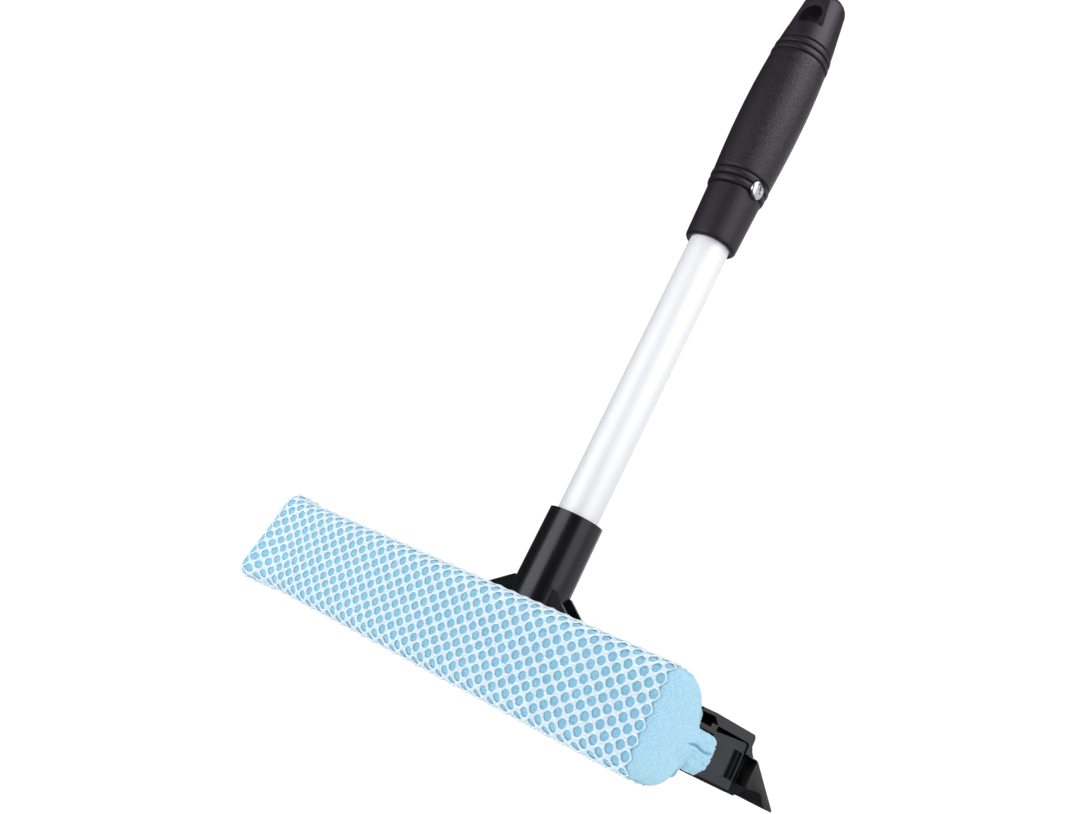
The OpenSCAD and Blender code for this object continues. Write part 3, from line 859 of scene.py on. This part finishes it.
# ---------------------------------------------------------------- net
NET_T = 0.42             # thickness of the yarn round a hole
NET_GROW = 0.04          # gap between the foam and the net
BAR_LIFT = 0.35          # how far the yarn stands up midway between holes
PITCH_X, PITCH_V = 6.45, 5.0
LAST_HOLE_X = 98.5
HOLE_RX, HOLE_RV = 1.64, 1.52


def cell_corner(i):
    """Point i of 12 on the border between a hole's cell and its neighbours."""
    side_v = PITCH_V / 2
    tip_x = (PITCH_X ** 2 / 4 + PITCH_V ** 2 / 4) / PITCH_X
    flat_x = (PITCH_X ** 2 / 4 + PITCH_V ** 2 / 4 - PITCH_V ** 2 / 2) / PITCH_X
    quarter = [(tip_x, 0.0), ((tip_x + flat_x) / 2, side_v / 2), (flat_x, side_v), (0.0, side_v)]
    turn, step = divmod(i, 3)
    x, v = quarter[step] if turn % 2 == 0 else quarter[3 - step]
    sign_x, sign_v = ((1, 1), (-1, 1), (-1, -1), (1, -1))[turn]
    return Vector((x * sign_x, v * sign_v, 0))


def net_cell():
    """One hole of the net with half of the yarn round it, drawn flat. The rim layer is 1 on
    the raised thread round the hole and 0 in the middle of the bars."""
    bm = bmesh.new()
    rim = bm.verts.layers.float.new("rim")
    # share of the way from the hole's edge to the cell's border, height over the foam, rim
    rings = ((1.0, 0.0, 0.0), (0.14, 0.0, 0.5), (0.1, 0.35, 0.8), (0.34, 1.0, 1.0),
             (1.0, 0.8, 0.0))
    for share, height, on_rim in rings:
        ring = bmesh.ops.create_circle(bm, cap_ends=False, radius=1.0, segments=12)["verts"]
        ring.sort(key=lambda v: math.atan2(v.co.y, v.co.x) % (2 * math.pi - 1e-4))
        for i, v in enumerate(ring):
            a = math.radians(30 * i)
            hole = Vector((HOLE_RX * math.cos(a), HOLE_RV * math.sin(a), 0))
            knot = height > 0.7 and share == 1.0 and i in (3, 9)
            v.co = hole.lerp(cell_corner(i), share)
            v.co.z = (1.5 if knot else height) * NET_T
            v[rim] = on_rim
    bm.edges.ensure_lookup_table()
    loops = [bm.edges[i * 12:(i + 1) * 12] for i in range(len(rings))]
    for low, high in zip(loops, loops[1:]):
        bmesh.ops.bridge_loops(bm, edges=low + high)
    return bm


def close_border(bm):
    """Joins the upper and lower border of the net with a narrow band of faces."""
    waiting = {}
    for edge in [e for e in bm.edges if e.is_boundary]:
        middle = (edge.verts[0].co + edge.verts[1].co) / 2
        key = (round(middle.x, 1), round(middle.y, 1))
        other = waiting.pop(key, None)
        if other is None:
            waiting[key] = edge
            continue
        a, b = edge.verts
        c, d = other.verts
        if (a.co.xy - c.co.xy).length > (a.co.xy - d.co.xy).length:
            c, d = d, c
        bm.faces.new([a, b, d, c])


def repeat(bm, geom, count, vec):
    """Adds count - 1 copies of geom, each moved on by vec."""
    made = list(geom)
    for i in range(1, count):
        copy = bmesh.ops.duplicate(bm, geom=geom)["geom"]
        verts = [g for g in copy if isinstance(g, bmesh.types.BMVert)]
        bmesh.ops.translate(bm, verts=verts, vec=Vector(vec) * i)
        made += copy
    return made


def everything(bm):
    return list(bm.verts) + list(bm.edges) + list(bm.faces)


def build_net(finish):
    """The net, drawn flat cell by cell, closed, and wrapped round the foam."""
    path, lengths = wrap_path(NET_GROW)
    total = lengths[-1]
    bm = net_cell()
    repeat(bm, everything(bm), 2, (-PITCH_X / 2, PITCH_V / 2, 0))
    columns = int(2 * LAST_HOLE_X / PITCH_X) + 1
    repeat(bm, everything(bm), columns, (-PITCH_X, 0, 0))
    rows = int(total / PITCH_V) + 2
    repeat(bm, everything(bm), rows, (0, PITCH_V, 0))
    bmesh.ops.remove_doubles(bm, verts=bm.verts, dist=0.01)
    # a hole of the last column lies 2.5 mm under the jaw line on the front
    front_start = lengths[min(range(len(path)), key=lambda i: math.dist(
        path[i], (SPONGE_FRONT - NET_GROW, SPONGE_TOP - FRONT_ROUND)))]
    phase = (front_start + SPONGE_TOP - FRONT_ROUND + 2.5) % PITCH_V - PITCH_V
    bmesh.ops.translate(bm, verts=bm.verts, vec=(LAST_HOLE_X, phase, 0))
    close_border(bm)
    for normal, limit in (((0, -1, 0), (0, 0.2, 0)), ((0, 1, 0), (0, total - 0.2, 0))):
        bmesh.ops.bisect_plane(bm, geom=everything(bm), plane_co=limit, plane_no=normal,
                               clear_outer=True, dist=1e-4)
    rims = [e for e in bm.edges if e.is_boundary]
    bmesh.ops.holes_fill(bm, edges=rims, sides=0)
    knit = bm.loops.layers.uv.new("knit")
    for face in bm.faces:
        for loop in face.loops:
            loop[knit].uv = (loop.vert.co.x, loop.vert.co.y)
    for v in bm.verts:
        along = math.cos(2 * math.pi * (v.co.x - LAST_HOLE_X) / PITCH_X)
        across = math.cos(2 * math.pi * (v.co.y - phase) / PITCH_V)
        v.co.z += BAR_LIFT * max(0.0, -along * across)
        v.co = wrapped(v.co, path, lengths)
    bmesh.ops.recalc_face_normals(bm, faces=bm.faces)
    from_sketch(bm)
    net = new_object("knitted_net", bm)
    dress(net, finish, nodes=["sponge_net"], sharp=70)
    return net


def wrapped(point, path, lengths):
    """Takes a point of the flat net to its place round the foam."""
    x, v, lift = point
    drift = Vector((x * 0.05, v * 0.05, 0))
    v += 0.22 * noise.noise(drift)
    x += 0.18 * noise.noise(drift + Vector((7, 7, 0)))
    v = min(max(v, 0.0), lengths[-1] - 1e-6)
    low, high = 0, len(lengths) - 1
    while high - low > 1:
        mid = (low + high) // 2
        low, high = (mid, high) if lengths[mid] <= v else (low, mid)
    a, b = Vector(path[low]), Vector(path[high])
    share = (v - lengths[low]) / (lengths[high] - lengths[low])
    along = (b - a).normalized()
    out = Vector((along.y, -along.x))
    place = a.lerp(b, share) + out * lift
    dent = 0.25 * noise.noise(Vector((x * 0.06, place.x * 0.12, place.y * 0.12)))
    if x > 86:
        x -= 3.4 * rear_share(place.x) * ((x - 86) / 15) ** 2
    return Vector((x + left_drift(x, place.y), place.x + dent,
                   place.y + corner_lift(x, place.y)))


# ---------------------------------------------------------------- set
def softbox(name, azimuth, elevation, distance, width, height, power):
    """An area light that faces the handle's middle. Azimuth 0 is in front of the sponge."""
    a, e = math.radians(azimuth), math.radians(elevation)
    centre = Vector((0, 0, (cad_low.z + cad_high.z) / 2))
    back = Vector((math.sin(a) * math.cos(e), -math.cos(a) * math.cos(e), math.sin(e)))
    data = bpy.data.lights.new(name, "AREA")
    data.shape, data.size, data.size_y, data.energy = "RECTANGLE", width, height, power
    lamp = bpy.data.objects.new(name, data)
    lamp.location = centre + back * distance
    lamp.rotation_euler = back.to_track_quat("Z", "Y").to_euler()
    lamp.visible_camera = False
    bpy.context.scene.collection.objects.link(lamp)
    return lamp


def light_set():
    softbox("left softbox", -14, -3, 1.1, 1.0, 0.7, 5.6)
    softbox("right softbox", 84, 14, 1.1, 0.9, 2.0, 8.0)
    softbox("side fill", 136, 8, 1.2, 1.3, 1.5, 3.9)
    softbox("backdrop", 200, 8, 1.3, 1.5, 1.5, 5.0)
    softbox("upper softbox", 76, 54, 1.2, 1.0, 0.8, 8.0)
    softbox("upper left fill", -45, 32, 1.1, 0.8, 0.6, 0.55)
    overhead = softbox("overhead fill", 0, 88, 1.0, 0.8, 0.8, 3.4)
    overhead.visible_glossy = False
    falloff = softbox("left fill", -50, 0, 0.7, 0.4, 0.4, 1.5)
    falloff.visible_glossy = False
    world = bpy.data.worlds.new("white room")
    world.use_nodes = True
    tree = world.node_tree
    tree.nodes.clear()
    seen = add(tree, "ShaderNodeBackground", {"Color": linear("#FFFFFF"), "Strength": 1.05})
    fill = add(tree, "ShaderNodeBackground", {"Color": linear("#F4F7FA"), "Strength": 0.06})
    ray = add(tree, "ShaderNodeLightPath").outputs["Is Camera Ray"]
    both = add(tree, "ShaderNodeMixShader", {0: ray, 1: fill.outputs[0], 2: seen.outputs[0]})
    add(tree, "ShaderNodeOutputWorld", {"Surface": both.outputs[0]})
    bpy.context.scene.world = world
    bpy.context.scene.view_settings.view_transform = "Standard"


def lay_floor():
    bm = bmesh.new()
    bmesh.ops.create_grid(bm, x_segments=2, y_segments=2, size=8.0)
    bmesh.ops.translate(bm, vec=(0, 0, cad_low.z - 0.25), verts=bm.verts)
    floor = new_object("floor", bm)
    floor.data.materials.append(white_floor())
    floor.visible_glossy = False


def aim_camera():
    data = bpy.data.cameras.new("camera")
    data.sensor_width, data.lens = 36.0, 40.835
    eye = bpy.data.objects.new("camera", data)
    eye.location = at(306.75, -365.44, -10.16)
    eye.rotation_euler = [math.radians(turn) for turn in (102.787, -26.184, 38.063)]
    bpy.context.scene.collection.objects.link(eye)
    bpy.context.scene.camera = eye


def paint(node, finish):
    """A CAD node whose shape is right gets its finish."""
    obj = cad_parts[node]
    obj.data.materials.clear()
    obj.data.materials.append(finish)


aim_camera()
light_set()
lay_floor()

zinc = zinc_plated_steel()
build_head(glossy_black_abs(), satin_black_pp())
build_grip(grained_black_pp())
build_tube(satin_aluminium())
build_blade(black_rubber())
build_foam(blue_foam())
build_net(knitted_nylon())

build_pan_screw("grip_pan_screw", zinc, grip_screw_seat()
                @ Matrix.Rotation(math.radians(20), 4, "Z"), "grip_screw")
socket_low, socket_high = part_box("socket_screw")
socket_z = (socket_low.z + socket_high.z) / 2 / MM - JAW / MM
build_pan_screw("socket_pan_screw", zinc, Matrix.Translation(
                (0, socket_high.y / MM - 2.3, socket_z)) @ Matrix.Rotation(-math.pi / 2, 4, "X"),
                "socket_screw")
paint("clamp_screws", zinc)
paint("neck_staples", zinc)
paint("neck_strip", natural_plastic("natural PP", "#D6D6CF", "#E2E2DC"))
nylon = natural_plastic("natural nylon", "#CDC8B8", "#DCD8CA")
paint("lower_plug", nylon)
paint("upper_plug", nylon)
